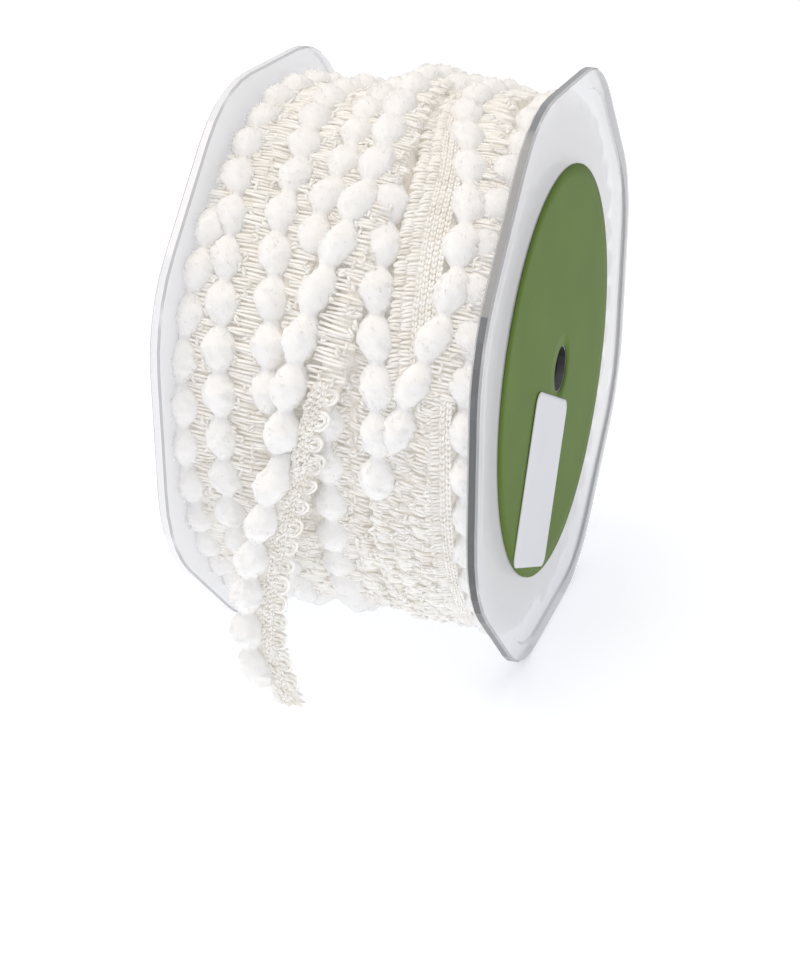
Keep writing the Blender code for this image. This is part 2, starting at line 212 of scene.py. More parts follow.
# Camera at the photo's angle: its place from the spool's axis in mm, and its lens
CAMERA_PLACE = (97.909, -287.473, 117.076)
CAMERA_BACK = (0.29881, -0.85327, 0.42736)
CAMERA_UP = (-0.14125, 0.40334, 0.90408)
CAMERA_LENS = 67.31

# Soft lights: places and sizes in metres, power in watts
LIGHTS = (
    {"name": "key light", "place": (-0.35, -0.25, 1.45), "size": 1.1, "power": 10.0, "colour": "#FFF2E0"},
    {"name": "fill light", "place": (-1.2, -0.9, 0.35), "size": 1.0, "power": 1.2, "colour": "#E2EEFF"},
)
SURROUND_COLOUR = "#FDFDFF"
SURROUND_STRENGTH = 0.63


def linear_colour(code):
    """The linear red, green and blue of an sRGB hex code."""
    channels = [int(code[i:i + 2], 16) / 255 for i in (1, 3, 5)]
    return tuple(c / 12.92 if c <= 0.04045 else ((c + 0.055) / 1.055) ** 2.4 for c in channels)


def colour_property(name, description, code):
    return bpy.props.FloatVectorProperty(
        name=name, description=description, default=linear_colour(code),
        size=3, min=0.0, max=1.0, subtype="COLOR",
    )


def length_property(name, description, millimetres):
    return bpy.props.FloatProperty(
        name=name, description=description, default=millimetres * MM,
        min=0.0, precision=5, unit="LENGTH",
    )


class TrimSizes(bpy.types.PropertyGroup):
    """Sizes of the yarn work that a user may change."""

    pompom_width: length_property("Pompom width", "Width of a pompom across its string", 6.1)
    neck_width: length_property("Neck width", "Width of the fluff where it is tied between pompoms", 2.2)
    tuft_depth: length_property("Tuft depth", "How far single tufts stand out of a pompom", 0.3)
    fibre_length: length_property("Fibre length", "How far single fibres stand out of a pompom", 0.6)
    fibre_width: length_property("Fibre width", "Width of a wisp of fibres", 0.12)
    thread_width: length_property("Thread width", "Width of the lustrous thread of the braid", 0.5)
    loop_pitch: length_property("Loop pitch", "Distance between loops along the braid", 1.25)
    wale_width: length_property("Wale width", "Width of one column of knitted stitches", 1.0)
    stitch_length: length_property("Stitch length", "Length of one knitted stitch", 0.95)
    label_paper_thickness: length_property("Label thickness", "Thickness of the label paper", 0.16)


class TrimColours(bpy.types.PropertyGroup):
    """Colours of the finishes."""

    fluff: colour_property("Fluff", "Tips of the pompoms", "#FBFAF9")
    # The tone below is painted shade: it darkens the hollows of the pompoms' fibre relief.
    fluff_painted_shade: colour_property("Fluff depth", "Between the fibres and at the ties", "#F7F6F4")
    gimp: colour_property("Gimp", "Lustrous yarn of the braid", "#FAF8F4")
    # The tone below gives creamier patches at random in the braid, and painted shade in the hollows of
    # the wound layers' relief.
    gimp_patches_and_shade: colour_property("Gimp depth", "Yarn that lies deeper in the braid", "#F0ECE5")
    ground: colour_property("Ground", "Wound layers under the outer turns", "#F3EFE8")
    plastic: colour_property("Plastic", "Clear plastic seen face on", "#F0F1F4")
    # The edge colour below is painted: near black on the plastic's rounded edges and on the rim of the
    # end with the label, where light bends away or the dark label shows through.
    plastic_edge_painted_dark: colour_property("Plastic edge", "Clear plastic seen through its edges", "#16181B")
    # The colour below is a painted reflection: edges that face up are painted lighter.
    plastic_rim_painted_reflection: colour_property("Plastic rim top", "Its edges where they face up", "#74797F")
    label: colour_property("Label", "Green label paper", "#5F7930")
    sticker: colour_property("Sticker", "White sticker paper", "#E4E6EA")
    floor: colour_property("Floor", "Plain pale floor", "#E3E5E9")


# Meshes from arrays

def add_piece(name, points, face_sets, made_of):
    """A mesh object that rides on the frame. points are in mm from the middle of the axis, and each
    face set is an array of faces with as many corners each."""
    corners = np.concatenate([faces.ravel() for faces in face_sets]).astype(np.int32)
    sizes = np.concatenate([np.full(len(faces), faces.shape[1]) for faces in face_sets])
    starts = np.concatenate(([0], np.cumsum(sizes)[:-1])).astype(np.int32)
    mesh = bpy.data.meshes.new(name)
    mesh.vertices.add(len(points))
    mesh.vertices.foreach_set("co", to_world(points).astype(np.float32).ravel())
    mesh.loops.add(len(corners))
    mesh.loops.foreach_set("vertex_index", corners)
    mesh.polygons.add(len(sizes))
    mesh.polygons.foreach_set("loop_start", starts)
    mesh.polygons.foreach_set("use_smooth", np.full(len(sizes), True))
    mesh.update(calc_edges=True)
    mesh.validate()
    mesh.materials.append(made_of)
    obj = bpy.data.objects.new(name, mesh)
    bpy.context.scene.collection.objects.link(obj)
    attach(obj, "root")
    return obj


def to_world(points):
    return np.asarray(points) * MM + np.array((0.0, 0.0, AXIS_HEIGHT))


def ring_faces(first, count):
    """Quads between neighbouring rings of count points each. first holds each ring's first index."""
    around = np.arange(count)
    following = (around + 1) % count
    low, high = np.asarray(first)[:-1, None], np.asarray(first)[1:, None]
    quads = np.stack((low + around, low + following, high + following, high + around), axis=-1)
    return quads.reshape(-1, 4)


def tube_faces(tubes, rings, sides):
    """Quads of many like tubes whose points follow each other, and the caps at both ends."""
    starts = np.arange(tubes)[:, None] * rings * sides + np.arange(rings) * sides
    quads = (ring_faces(starts[0], sides) + starts[:, :1, None]).reshape(-1, 4)
    around = np.arange(sides)
    caps = np.concatenate((starts[:, :1] + around[::-1], starts[:, -1:] + around))
    return quads, caps


# Strips: from flat places to the spool

def smooth_track(knots, values, at):
    """Values at places along a smooth curve through the knots."""
    knots, values, at = (np.asarray(a, float) for a in (knots, values, at))
    last = len(knots) - 1
    i = np.clip(np.searchsorted(knots, at, side="right") - 1, 0, last - 1)
    before, after = np.maximum(np.arange(last + 1) - 1, 0), np.minimum(np.arange(last + 1) + 1, last)
    slope = (values[after] - values[before]) / (knots[after] - knots[before])
    step = knots[i + 1] - knots[i]
    t = (at - knots[i]) / step
    return (
        (2 * t**3 - 3 * t**2 + 1) * values[i]
        + (t**3 - 2 * t**2 + t) * step * slope[i]
        + (3 * t**2 - 2 * t**3) * values[i + 1]
        + (t**3 - t**2) * step * slope[i + 1]
    )


def last_turn_lift(angle):
    return LAST_TURN_LIFT * np.clip((250 - angle) / 90, 0, 1)


def turn_strip(turn, column, radius):
    """Strip along one turn's pompom string or braid, along = 0 at the bottom. column is pompom_x or
    braid_x, and radius is where height 0 lies."""

    def place(along, across, height):
        angle = TURN_START + np.degrees(along / radius)
        away = radius + height
        if turn["turn"] == "last":
            away = away + last_turn_lift(angle)
        x = smooth_track(TURN_ANGLES, turn[column], angle) + across
        x = np.clip(x, -ROLL_HALF_WIDTH, ROLL_HALF_WIDTH)
        front = np.radians(angle)
        return np.stack((x, -away * np.cos(front), away * np.sin(front)), axis=-1)

    return place


LOOSE_END_TOP = LOOSE_END_PATH[0]["z"]
LOOSE_END_DEPTHS = [LOOSE_END_TOP - row["z"] for row in LOOSE_END_PATH]
LOOSE_END_LENGTH = LOOSE_END_DEPTHS[-1]


def hanging_strip(along, across, height):
    """Strip down the loose end. across is from its pompom string, towards the right."""
    x = smooth_track(LOOSE_END_DEPTHS, [row["x"] for row in LOOSE_END_PATH], along) + across
    lean = smooth_track(LOOSE_END_DEPTHS, [row["lean"] for row in LOOSE_END_PATH], along)
    z = LOOSE_END_TOP - along - AXIS_HEIGHT / MM
    return np.stack(np.broadcast_arrays(x, -lean - height, z), axis=-1)


# Yarn work

def fluff_string(strip, first, count, pitch, sizes, rng, lead=0.0):
    """A string of fluff tied into pompoms: points and faces of one closed form. first is the place
    of its first pompom's middle, and lead is how far its first neck is drawn out."""
    radius = sizes.pompom_width / MM / 2
    neck = sizes.neck_width / MM / 2
    tuft = sizes.tuft_depth / MM
    rings, sides = POMPOM_RINGS, POMPOM_SIDES
    share = (np.arange(rings) + 0.5) / rings - 0.5
    swell = (0.5 + 0.5 * np.cos(2 * np.pi * share)) ** POMPOM_ROUNDNESS
    turn = 2 * np.pi * np.arange(sides) / sides

    size = rng.uniform(0.94, 1.06, (count, 1, 1))
    lumps = np.zeros((count, rings, sides))
    for waves in LUMPS_ROUND_POMPOM:
        strength = rng.uniform(0.012, 0.040, (count, 1, 1))
        phase = rng.uniform(0, 2 * np.pi, (2, count, 1, 1))
        lumps += strength * np.sin(waves * turn + phase[0]) * np.cos(
            waves * 2.2 * share[:, None] * np.pi + phase[1])
    fibres = rng.uniform(-1, 1, (count, rings, sides))
    swell = swell[None, :, None]
    away = neck + (radius - neck) * swell * size * (1 + lumps) + tuft * fibres * (0.4 + 0.6 * swell)
    shift_across = rng.uniform(-0.25, 0.25, (count, 1, 1)) * swell
    shift_up = rng.uniform(-0.15, 0.15, (count, 1, 1)) * swell
    along = first + pitch * (np.arange(count)[:, None, None] + share[:, None])
    along = along + rng.uniform(-0.08, 0.08, (count, rings, sides))
    along[0, 0] -= lead
    across = shift_across + away * np.cos(turn)
    height = shift_up + away * np.sin(turn)
    points = strip(along, across, height).reshape(-1, 3)
    return points, tube_faces(1, count * rings, sides)


def fuzz(strip, first, count, pitch, sizes, rng):
    """Single fibres that stand out of a string of pompoms all round, as one joined form. Their roots
    lie a little inside the fluff."""
    total = count * FIBRES_PER_POMPOM
    outward = rng.normal(size=(total, 3))
    outward /= np.linalg.norm(outward, axis=1, keepdims=True)
    reach = np.array((0.46 * pitch, 0.49 * sizes.pompom_width / MM, 0.49 * sizes.pompom_width / MM))
    start = outward * reach * 0.94
    start[:, 0] += first + pitch * np.repeat(np.arange(count), FIBRES_PER_POMPOM)
    rise = (outward + rng.uniform(-0.7, 0.7, (total, 3))) * sizes.fibre_length / MM
    aside = np.cross(rise, rng.normal(size=(total, 3)))
    aside /= np.linalg.norm(aside, axis=1, keepdims=True)
    other = np.cross(rise, aside)
    other /= np.linalg.norm(other, axis=1, keepdims=True)
    turn = 2 * np.pi * np.arange(3) / 3
    around = aside[:, None] * np.cos(turn)[:, None] + other[:, None] * np.sin(turn)[:, None]
    share = np.array((0.0, 0.5, 1.0))[:, None]
    middle = start[:, None] + rise[:, None] * share + 0.15 * aside[:, None] * share**2
    thick = np.array((0.5, 0.4, 0.15))[:, None, None] * sizes.fibre_width / MM
    along, across, height = np.moveaxis(middle[:, :, None] + around[:, None] * thick, -1, 0)
    return strip(along, across, height).reshape(-1, 3), tube_faces(total, 3, 3)


def threads(strip, along, across, height, thick, sides=5):
    """Many lengths of thread as one joined form. along, across and height are (n, rings) places of
    their middles, and thick is their half width there."""
    ahead, aside = np.gradient(along, axis=1), np.gradient(across, axis=1)
    length = np.maximum(np.hypot(ahead, aside), 1e-6)
    turn = 2 * np.pi * np.arange(sides) / sides
    out, up = thick[..., None] * np.cos(turn), thick[..., None] * np.sin(turn)
    points = strip(
        along[..., None] - (aside / length)[..., None] * out,
        across[..., None] + (ahead / length)[..., None] * out,
        height[..., None] + up,
    ).reshape(-1, 3)
    return points, tube_faces(len(along), along.shape[1], sides)


def loops(strip, roots, tips, sizes, rng, spread=0.55, bow=0.6, sink=0.45, rings=11, sides=5):
    """Hairpin loops of thread, out from each root round its tip and back. roots and tips are (n, 2)
    places along and across the strip."""
    u = np.linspace(0, 1, rings)[None, :]
    out = np.sin(np.pi * u) ** LOOP_BLUNTNESS
    run = tips - roots
    count = len(roots)
    width = spread * rng.uniform(0.75, 1.25, (count, 1))
    along = roots[:, :1] + run[:, :1] * out - width / 2 * np.cos(np.pi * u)
    across = roots[:, 1:] + run[:, 1:] * out
    arch = bow * np.sin(np.pi * (0.12 + 0.72 * out)) - sink
    height = arch + rng.uniform(-0.14, 0.14, (count, 1)) + rng.uniform(-0.05, 0.05, (count, rings))
    thick = sizes.thread_width / MM / 2 * rng.uniform(0.85, 1.15, (count, 1)) * np.ones_like(u)
    return threads(strip, along, across, height, thick, sides)


def grains(strip, start, end, sizes, rng, bow=0.25, sink=0.2, rings=5):
    """Short visible lengths of thread, each dipping out of sight at both ends."""
    u = np.linspace(0, 1, rings)[None, :]
    bulge = np.sin(np.pi * u)
    run = end - start
    count = len(start)
    along = start[:, :1] + run[:, :1] * u
    across = start[:, 1:] + run[:, 1:] * u
    height = bow * bulge**0.7 - sink + rng.uniform(-0.07, 0.07, (count, 1))
    thick = sizes.thread_width / MM / 2 * np.clip(bulge, 0.05, 1) ** 0.4
    thick = thick * rng.uniform(0.9, 1.1, (count, 1))
    return threads(strip, along, across, height, thick)


def join_forms(forms):
    """One form from several, each its points with its quads and caps."""
    points, quads, caps, offset = [], [], [], 0
    for form_points, (form_quads, form_caps) in forms:
        points.append(form_points)
        quads.append(form_quads + offset)
        caps.append(form_caps + offset)
        offset += len(form_points)
    widths = sorted({c.shape[1] for c in caps})
    cap_sets = [np.concatenate([c for c in caps if c.shape[1] == w]) for w in widths]
    return np.concatenate(points), [np.concatenate(quads)] + cap_sets


def shaken(rng, places, reach):
    return places + rng.uniform(-reach, reach, places.shape)


def pairs(along, across):
    """(n, 2) places from places along and across, either of which may be one number."""
    return np.stack(np.broadcast_arrays(along, across), axis=1).astype(float)


def looped_braid(strip, start, end, width, sizes, rng):
    """A gimp braid with its loops on show: columns of hairpins thrown from both sides in turn, so
    that round bends stand along each edge, and small curls over them. It reaches under its pompom
    string."""
    pitch = sizes.loop_pitch / MM
    columns = max(1, round(width / HAIRPIN_COLUMN))
    edges = np.linspace(
        -width / 2 - HAIRPIN_REACH["left"], width / 2 + HAIRPIN_REACH["right"], columns + 1)
    forms = []
    for left, right in zip(edges, edges[1:]):
        places = shaken(rng, np.arange(start + rng.uniform(0, pitch), end, pitch), 0.2)
        side = np.where(np.arange(len(places)) % 2, 1.0, -1.0)
        sway = 0.3 * np.sin(places * 2 * np.pi / 6.1 + rng.uniform(0, 6))
        roots = pairs(places + 0.35 * side, sway + np.where(side > 0, left + 0.2, right - 0.2))
        tips = pairs(places - 0.35 * side, sway + np.where(side > 0, right + 0.2, left - 0.2))
        forms.append(loops(strip, shaken(rng, roots, 0.25), shaken(rng, tips, 0.35), sizes, rng,
                           spread=0.72, bow=0.7, sink=0.5, rings=12))
        curls = places[rng.uniform(0, 1, len(places)) < 0.85]
        roots = pairs(curls, rng.uniform(left + 0.4, right - 0.2, len(curls)))
        turn = rng.uniform(0, 2 * np.pi, len(curls))
        tips = roots + rng.uniform(0.7, 1.4, (len(curls), 1)) * pairs(np.sin(turn), np.cos(turn))
        forms.append(loops(strip, roots, tips, sizes, rng, spread=0.85, bow=0.6, sink=0.12,
                           rings=9, sides=4))
    return forms


def knitted_braid(strip, start, end, width, sizes, rng):
    """The same braid lying flat: columns of V-shaped stitches inside a looped left edge."""
    wale = sizes.wale_width / MM
    step = sizes.stitch_length / MM
    wales = round(width * 0.55 / wale)
    forms = []
    for number in range(wales):
        middle = width / 2 - (number + 0.5) * wale
        rows = np.arange(start, end, step) + (0.5 * step if number % 2 else 0.0)
        for side in (-1, 1):
            forms.append(grains(
                strip, shaken(rng, pairs(rows, middle + side * 0.10 * wale), 0.05),
                shaken(rng, pairs(rows + 1.2 * step, middle + side * 0.34 * wale), 0.05), sizes, rng))
    places = np.arange(start, end, sizes.loop_pitch / MM)
    edge = width / 2 - wales * wale
    for root, tip in ((edge + 0.3, edge - 1.9), (0.6 * edge - 0.2 * width, 0.2 - width / 2)):
        forms.append(loops(
            strip, shaken(rng, pairs(places, root), 0.25),
            shaken(rng, pairs(places - 0.5, tip), 0.35), sizes, rng, spread=0.7))
    return forms


def scalloped_braid(strip, start, end, width, sizes, rng, middle=0.0):
    """The braid's lace side: knots in columns, and an edge of lobes, each a wide loop round smaller
    ones with a small hole between them. middle is the knots' place across the strip."""
    forms = []
    lobe_pitch = math.pi * (LAYER_POMPOM_RADIUS["upper"] + LAST_TURN_LIFT) / POMPOMS_PER_TURN
    lobes = np.arange(start, end - 1.0, lobe_pitch)
    root = middle + 0.5
    for loop in LOBE_LOOPS:
        forms.append(loops(
            strip, shaken(rng, pairs(lobes + 0.6 * loop["lean"], root), 0.08),
            shaken(rng, pairs(lobes + loop["lean"], root + loop["far"]), 0.10), sizes, rng,
            spread=loop["wide"], bow=0.5, sink=0.15, rings=17))
    rows = np.arange(start, end, sizes.stitch_length / MM)
    for wale in range(3):
        across = middle + 0.3 - 0.85 * wale
        for side in (-1, 1):
            here = rows + (0.4 if wale % 2 else 0.0)
            forms.append(grains(
                strip, shaken(rng, pairs(here, across + 0.08 * side), 0.12),
                shaken(rng, pairs(here + 1.15, across + 0.36 * side), 0.12), sizes, rng,
                bow=0.4, sink=0.1, rings=6))
    roots = shaken(rng, pairs(rows[::2], middle - 0.8), 0.7)
    forms.append(loops(strip, roots, roots + rng.uniform(-1.1, 1.1, roots.shape), sizes, rng,
                       spread=0.8, bow=0.5, sink=-0.1))
    inner = shaken(rng, pairs(rows, middle - 1.4), 0.2)
    forms.append(loops(strip, inner, shaken(rng, inner - (0.0, width / 2 - 1.4), 0.2), sizes, rng,
                       spread=0.6, bow=0.4, sink=0.2))
    return forms


# Materials

def add_node(tree, kind, settings=(), values=(), links=()):
    """A node of this kind with its own settings, its sockets' values and what feeds them."""
    made = tree.nodes.new(kind)
    for name, value in dict(settings).items():
        setattr(made, name, value)
    for socket, value in dict(values).items():
        made.inputs[socket].default_value = value
    for socket, (source, output) in dict(links).items():
        tree.links.new(source.outputs[output], made.inputs[socket])
    return made


def new_material(name):
    """An empty node material with its shader and its place coordinates."""
    made = bpy.data.materials.new(name)
    made.use_nodes = True
    tree = made.node_tree
    tree.nodes.clear()
    shader = add_node(tree, "ShaderNodeBsdfPrincipled")
    output = add_node(tree, "ShaderNodeOutputMaterial")
    tree.links.new(shader.outputs["BSDF"], output.inputs["Surface"])
    place = add_node(tree, "ShaderNodeTexCoord")
    return made, tree, shader, place


def waves_per_metre(size_mm):
    """A texture's scale for features of this size, in object coordinates."""
    return 1 / (size_mm * MM)


def rgba(colour):
    return (*colour, 1.0)


def spin_yarn(tree, shader, pattern, span, tones, relief, bump, bump_mm, painted_glow, reach_mm):
    """What all yarns here share: two tones that change with a pattern, relief, light that goes in under
    the surface and comes out softly, and a faint even painted glow in the yarn's own tone. The glow
    stands in for light that fine fibres hand on to each other, also deep between threads, where few rays
    would reach."""
    tone = add_node(tree, "ShaderNodeMapRange", values={
        "From Min": span[0], "From Max": span[1], "To Min": 0.0, "To Max": 1.0}, links={"Value": pattern})
    colour = add_node(tree, "ShaderNodeMix", settings={"data_type": "RGBA"}, values={
        "A": rgba(tones[0]), "B": rgba(tones[1])}, links={"Factor": (tone, "Result")})
    raised = add_node(tree, "ShaderNodeBump", values={"Strength": bump, "Distance": bump_mm * MM},
                      links={"Height": relief})
    shader.inputs["Subsurface Weight"].default_value = 0.6
    shader.inputs["Subsurface Scale"].default_value = reach_mm * MM
    shader.inputs["Subsurface Radius"].default_value = (1.0, 0.97, 0.93)
    # A faint even painted glow in the yarn's own tone, which lifts its shade.
    shader.inputs["Emission Strength"].default_value = painted_glow
    tree.links.new(colour.outputs["Result"], shader.inputs["Base Color"])
    tree.links.new(colour.outputs["Result"], shader.inputs["Emission Color"])
    tree.links.new(raised.outputs["Normal"], shader.inputs["Normal"])


def fluff_material(colours):
    """Polyester fluff, cut and tied: matt, with light going in between the fibres and a faint painted
    glow, so that a pompom looks soft and nearly shadowless, with a faint sheen along its outline. Its
    tone is a little darker in the hollows of its fibre relief, painted shade."""
    made, tree, shader, place = new_material("Polyester fluff, cut and tied")
    clumps = add_node(tree, "ShaderNodeTexNoise", values={
        "Scale": waves_per_metre(0.8), "Detail": 2.0}, links={"Vector": (place, "Object")})
    fibres = add_node(tree, "ShaderNodeTexNoise", values={
        "Scale": waves_per_metre(0.28), "Detail": 3.0, "Roughness": 0.7},
        links={"Vector": (place, "Object")})
    # The tone follows the fibre relief, so its hollows are painted darker: painted shade.
    depth = add_node(tree, "ShaderNodeMath", settings={"operation": "MULTIPLY"},
                     links={0: (clumps, "Fac"), 1: (fibres, "Fac")})
    spin_yarn(tree, shader, pattern=(depth, 0), span=(0.12, 0.34),
              tones=(colours.fluff_painted_shade, colours.fluff), relief=(fibres, "Fac"), bump=0.6,
              bump_mm=0.25, painted_glow=0.07, reach_mm=2.2)
    shader.inputs["Roughness"].default_value = 0.95
    shader.inputs["Specular IOR Level"].default_value = 0.15
    shader.inputs["Sheen Weight"].default_value = 0.45
    shader.inputs["Sheen Roughness"].default_value = 0.5
    return made


def gimp_material(colours):
    """Bright polyester gimp yarn, spun and crocheted: a silky yarn whose bends catch small bright
    highlights, with creamier patches at random and a faint painted glow."""
    made, tree, shader, place = new_material("Bright polyester gimp, spun")
    strands = add_node(tree, "ShaderNodeTexNoise", values={
        "Scale": waves_per_metre(0.45), "Detail": 2.0}, links={"Vector": (place, "Object")})
    patches = add_node(tree, "ShaderNodeTexNoise", values={
        "Scale": waves_per_metre(2.6), "Detail": 1.0}, links={"Vector": (place, "Object")})
    spin_yarn(tree, shader, pattern=(patches, "Fac"), span=(0.35, 0.6),
              tones=(colours.gimp_patches_and_shade, colours.gimp), relief=(strands, "Fac"), bump=0.35,
              bump_mm=0.12, painted_glow=0.11, reach_mm=1.6)
    shader.inputs["Roughness"].default_value = 0.38
    shader.inputs["Specular IOR Level"].default_value = 0.5
    shader.inputs["Sheen Weight"].default_value = 0.15
    return made


def ground_material(colours):
    """The same yarns in the layers underneath, wound tight: matt cream with knotty relief, a little
    darker in the relief's hollows, painted shade, and a faint painted glow, only seen between the outer
    turns and through the clear ends."""
    made, tree, shader, place = new_material("Polyester trim, wound layers")
    knots = add_node(tree, "ShaderNodeTexVoronoi", settings={"feature": "SMOOTH_F1"}, values={
        "Scale": waves_per_metre(1.3), "Smoothness": 0.6}, links={"Vector": (place, "Object")})
    fibres = add_node(tree, "ShaderNodeTexNoise", values={
        "Scale": waves_per_metre(0.5), "Detail": 3.0}, links={"Vector": (place, "Object")})
    relief = add_node(tree, "ShaderNodeMath", settings={"operation": "SUBTRACT"},
                      links={0: (fibres, "Fac"), 1: (knots, "Distance")})
    # The tone follows the relief, so its hollows are painted darker: painted shade.
    spin_yarn(tree, shader, pattern=(relief, 0), span=(-0.3, 0.5),
              tones=(colours.gimp_patches_and_shade, colours.ground), relief=(relief, 0), bump=0.8,
              bump_mm=0.5, painted_glow=0.11, reach_mm=2.0)
    shader.inputs["Roughness"].default_value = 0.8
    shader.inputs["Sheen Weight"].default_value = 0.3
    return made


def octagon_distance(tree, place):
    """How far out a point lies in an octagon: 0 in its middle, 1 on its flats."""
    centred = add_node(tree, "ShaderNodeMapping", settings={"vector_type": "POINT"}, values={
        "Location": (-1.0, -1.0, -1.0), "Scale": (2.0, 2.0, 2.0)},
        links={"Vector": (place, "Generated")})
    apart = add_node(tree, "ShaderNodeVectorMath", settings={"operation": "ABSOLUTE"},
                     links={0: (centred, 0)})
    sides = add_node(tree, "ShaderNodeSeparateXYZ", links={"Vector": (apart, 0)})
    both = add_node(tree, "ShaderNodeMath", settings={"operation": "ADD"},
                    links={0: (sides, "Y"), 1: (sides, "Z")})
    diagonal = add_node(tree, "ShaderNodeMath", settings={"operation": "MULTIPLY"},
                        values={1: math.sqrt(0.5)}, links={0: (both, 0)})
    straight = add_node(tree, "ShaderNodeMath", settings={"operation": "MAXIMUM"},
                        links={0: (sides, "Y"), 1: (sides, "Z")})
    return add_node(tree, "ShaderNodeMath", settings={"operation": "MAXIMUM"},
                    links={0: (diagonal, 0), 1: (straight, 0)})


def clear_plastic_material(colours):
    """Crystal polystyrene, injection moulded and polished: clear face on with mirror gloss, and a painted
    dark line along each rounded edge that stands in for light bent away there. Edges are painted lighter
    where they face up, a painted reflection. The rim of the end with the label gets painted darkness that
    stands in for the dark label seen through it."""
    made, tree, shader, place = new_material("Crystal polystyrene, moulded")
    facing = add_node(tree, "ShaderNodeSeparateXYZ", links={"Vector": (place, "Normal")})
    spot = add_node(tree, "ShaderNodeSeparateXYZ", links={"Vector": (place, "Object")})
    flat = add_node(tree, "ShaderNodeMath", settings={"operation": "ABSOLUTE"}, links={0: (facing, "X")})
    rim = add_node(tree, "ShaderNodeMath", settings={"operation": "LESS_THAN"}, values={1: 0.5},
                   links={0: (flat, 0)})
    slope = add_node(tree, "ShaderNodeMath", settings={"operation": "COMPARE"}, values={1: 0.7, 2: 0.15},
                     links={0: (flat, 0)})
    # Painted darkness on the rim of the end with the label, standing in for the dark label seen through
    # it.
    right_end = add_node(tree, "ShaderNodeMath", settings={"operation": "GREATER_THAN"}, values={1: 0.0},
                         links={0: (spot, "X")})
    painted_label_darkness = add_node(tree, "ShaderNodeMath", settings={"operation": "MULTIPLY"},
                     links={0: (rim, 0), 1: (right_end, 0)})
    outermost = add_node(tree, "ShaderNodeMapRange", values={
        "From Min": 0.945, "From Max": 0.975, "To Min": 0.15, "To Max": 0.62},
        links={"Value": (octagon_distance(tree, place), 0)})
    # A painted dark line along the rounded edges and the border band's slope, standing in for light bent
    # away there.
    line = add_node(tree, "ShaderNodeMath", settings={"operation": "MULTIPLY"},
                    links={0: (slope, 0), 1: (outermost, 0)})
    dark = add_node(tree, "ShaderNodeMath", settings={"operation": "MULTIPLY_ADD"}, values={1: 0.94},
                    links={0: (painted_label_darkness, 0), 2: (line, 0)})
    gloss = add_node(tree, "ShaderNodeLayerWeight", values={"Blend": 0.22})
    lifted = add_node(tree, "ShaderNodeMath", settings={"operation": "MULTIPLY_ADD"},
                      values={1: 0.30, 2: 0.42}, links={0: (gloss, "Facing")})
    body = add_node(tree, "ShaderNodeMath", settings={"operation": "MAXIMUM"},
                    links={0: (lifted, 0), 1: (dark, 0)})
    # Painted reflection: edges that face up are painted lighter.
    painted_reflection_up = add_node(tree, "ShaderNodeMapRange", values={
        "From Min": -0.2, "From Max": 0.9, "To Min": 0.0, "To Max": 1.0}, links={"Value": (facing, "Z")})
    edge = add_node(tree, "ShaderNodeMix", settings={"data_type": "RGBA"}, values={
        "A": rgba(colours.plastic_edge_painted_dark), "B": rgba(colours.plastic_rim_painted_reflection)},
        links={"Factor": (painted_reflection_up, "Result")})
    colour = add_node(tree, "ShaderNodeMix", settings={"data_type": "RGBA"}, values={
        "A": rgba(colours.plastic)}, links={"Factor": (dark, 0), "B": (edge, "Result")})
    shader.inputs["Roughness"].default_value = 0.06
    shader.inputs["IOR"].default_value = 1.59
    tree.links.new(colour.outputs["Result"], shader.inputs["Base Color"])
    tree.links.new(body.outputs["Value"], shader.inputs["Alpha"])
    return made


def paper_material(name, colour, fibre_mm, roughness, contrast):
    """Coated label paper, die-cut: an even tone with faint fibre clouds and a soft, low gloss."""
    made, tree, shader, place = new_material(name)
    fibres = add_node(tree, "ShaderNodeTexNoise", values={
        "Scale": waves_per_metre(fibre_mm), "Detail": 4.0, "Roughness": 0.65},
        links={"Vector": (place, "Object")})
    clouds = add_node(tree, "ShaderNodeTexNoise", values={
        "Scale": waves_per_metre(14.0), "Detail": 1.0}, links={"Vector": (place, "Object")})
    both = add_node(tree, "ShaderNodeMath", settings={"operation": "ADD"},
                    links={0: (fibres, "Fac"), 1: (clouds, "Fac")})
    tone = add_node(tree, "ShaderNodeMapRange", values={
        "From Min": 0.7, "From Max": 1.3, "To Min": 1 - contrast, "To Max": 1 + contrast},
        links={"Value": (both, 0)})
    shade = add_node(tree, "ShaderNodeVectorMath", settings={"operation": "SCALE"},
                     values={0: colour}, links={"Scale": (tone, "Result")})
    bump = add_node(tree, "ShaderNodeBump", values={"Strength": 0.15, "Distance": 0.05 * MM},
                    links={"Height": (fibres, "Fac")})
    shader.inputs["Roughness"].default_value = roughness
    shader.inputs["Specular IOR Level"].default_value = 0.1
    tree.links.new(shade.outputs["Vector"], shader.inputs["Base Color"])
    tree.links.new(bump.outputs["Normal"], shader.inputs["Normal"])
    return made


def floor_material(colours):
    """Opal acrylic of a light table, cast and matt: plain white with light coming through it, so
    that the spool stands nearly without a shadow, with the faintest mottle."""
    made, tree, shader, place = new_material("Opal acrylic, cast")
    mottle = add_node(tree, "ShaderNodeTexNoise", values={"Scale": waves_per_metre(60.0)},
                      links={"Vector": (place, "Object")})
    tone = add_node(tree, "ShaderNodeMapRange", values={"To Min": 0.985, "To Max": 1.0},
                    links={"Value": (mottle, "Fac")})
    shade = add_node(tree, "ShaderNodeVectorMath", settings={"operation": "SCALE"},
                     values={0: tuple(colours.floor)}, links={"Scale": (tone, "Result")})
    shader.inputs["Roughness"].default_value = 0.9
    shader.inputs["Specular IOR Level"].default_value = 0.1
    shader.inputs["Emission Strength"].default_value = 0.58
    tree.links.new(shade.outputs["Vector"], shader.inputs["Base Color"])
    tree.links.new(shade.outputs["Vector"], shader.inputs["Emission Color"])
    return made


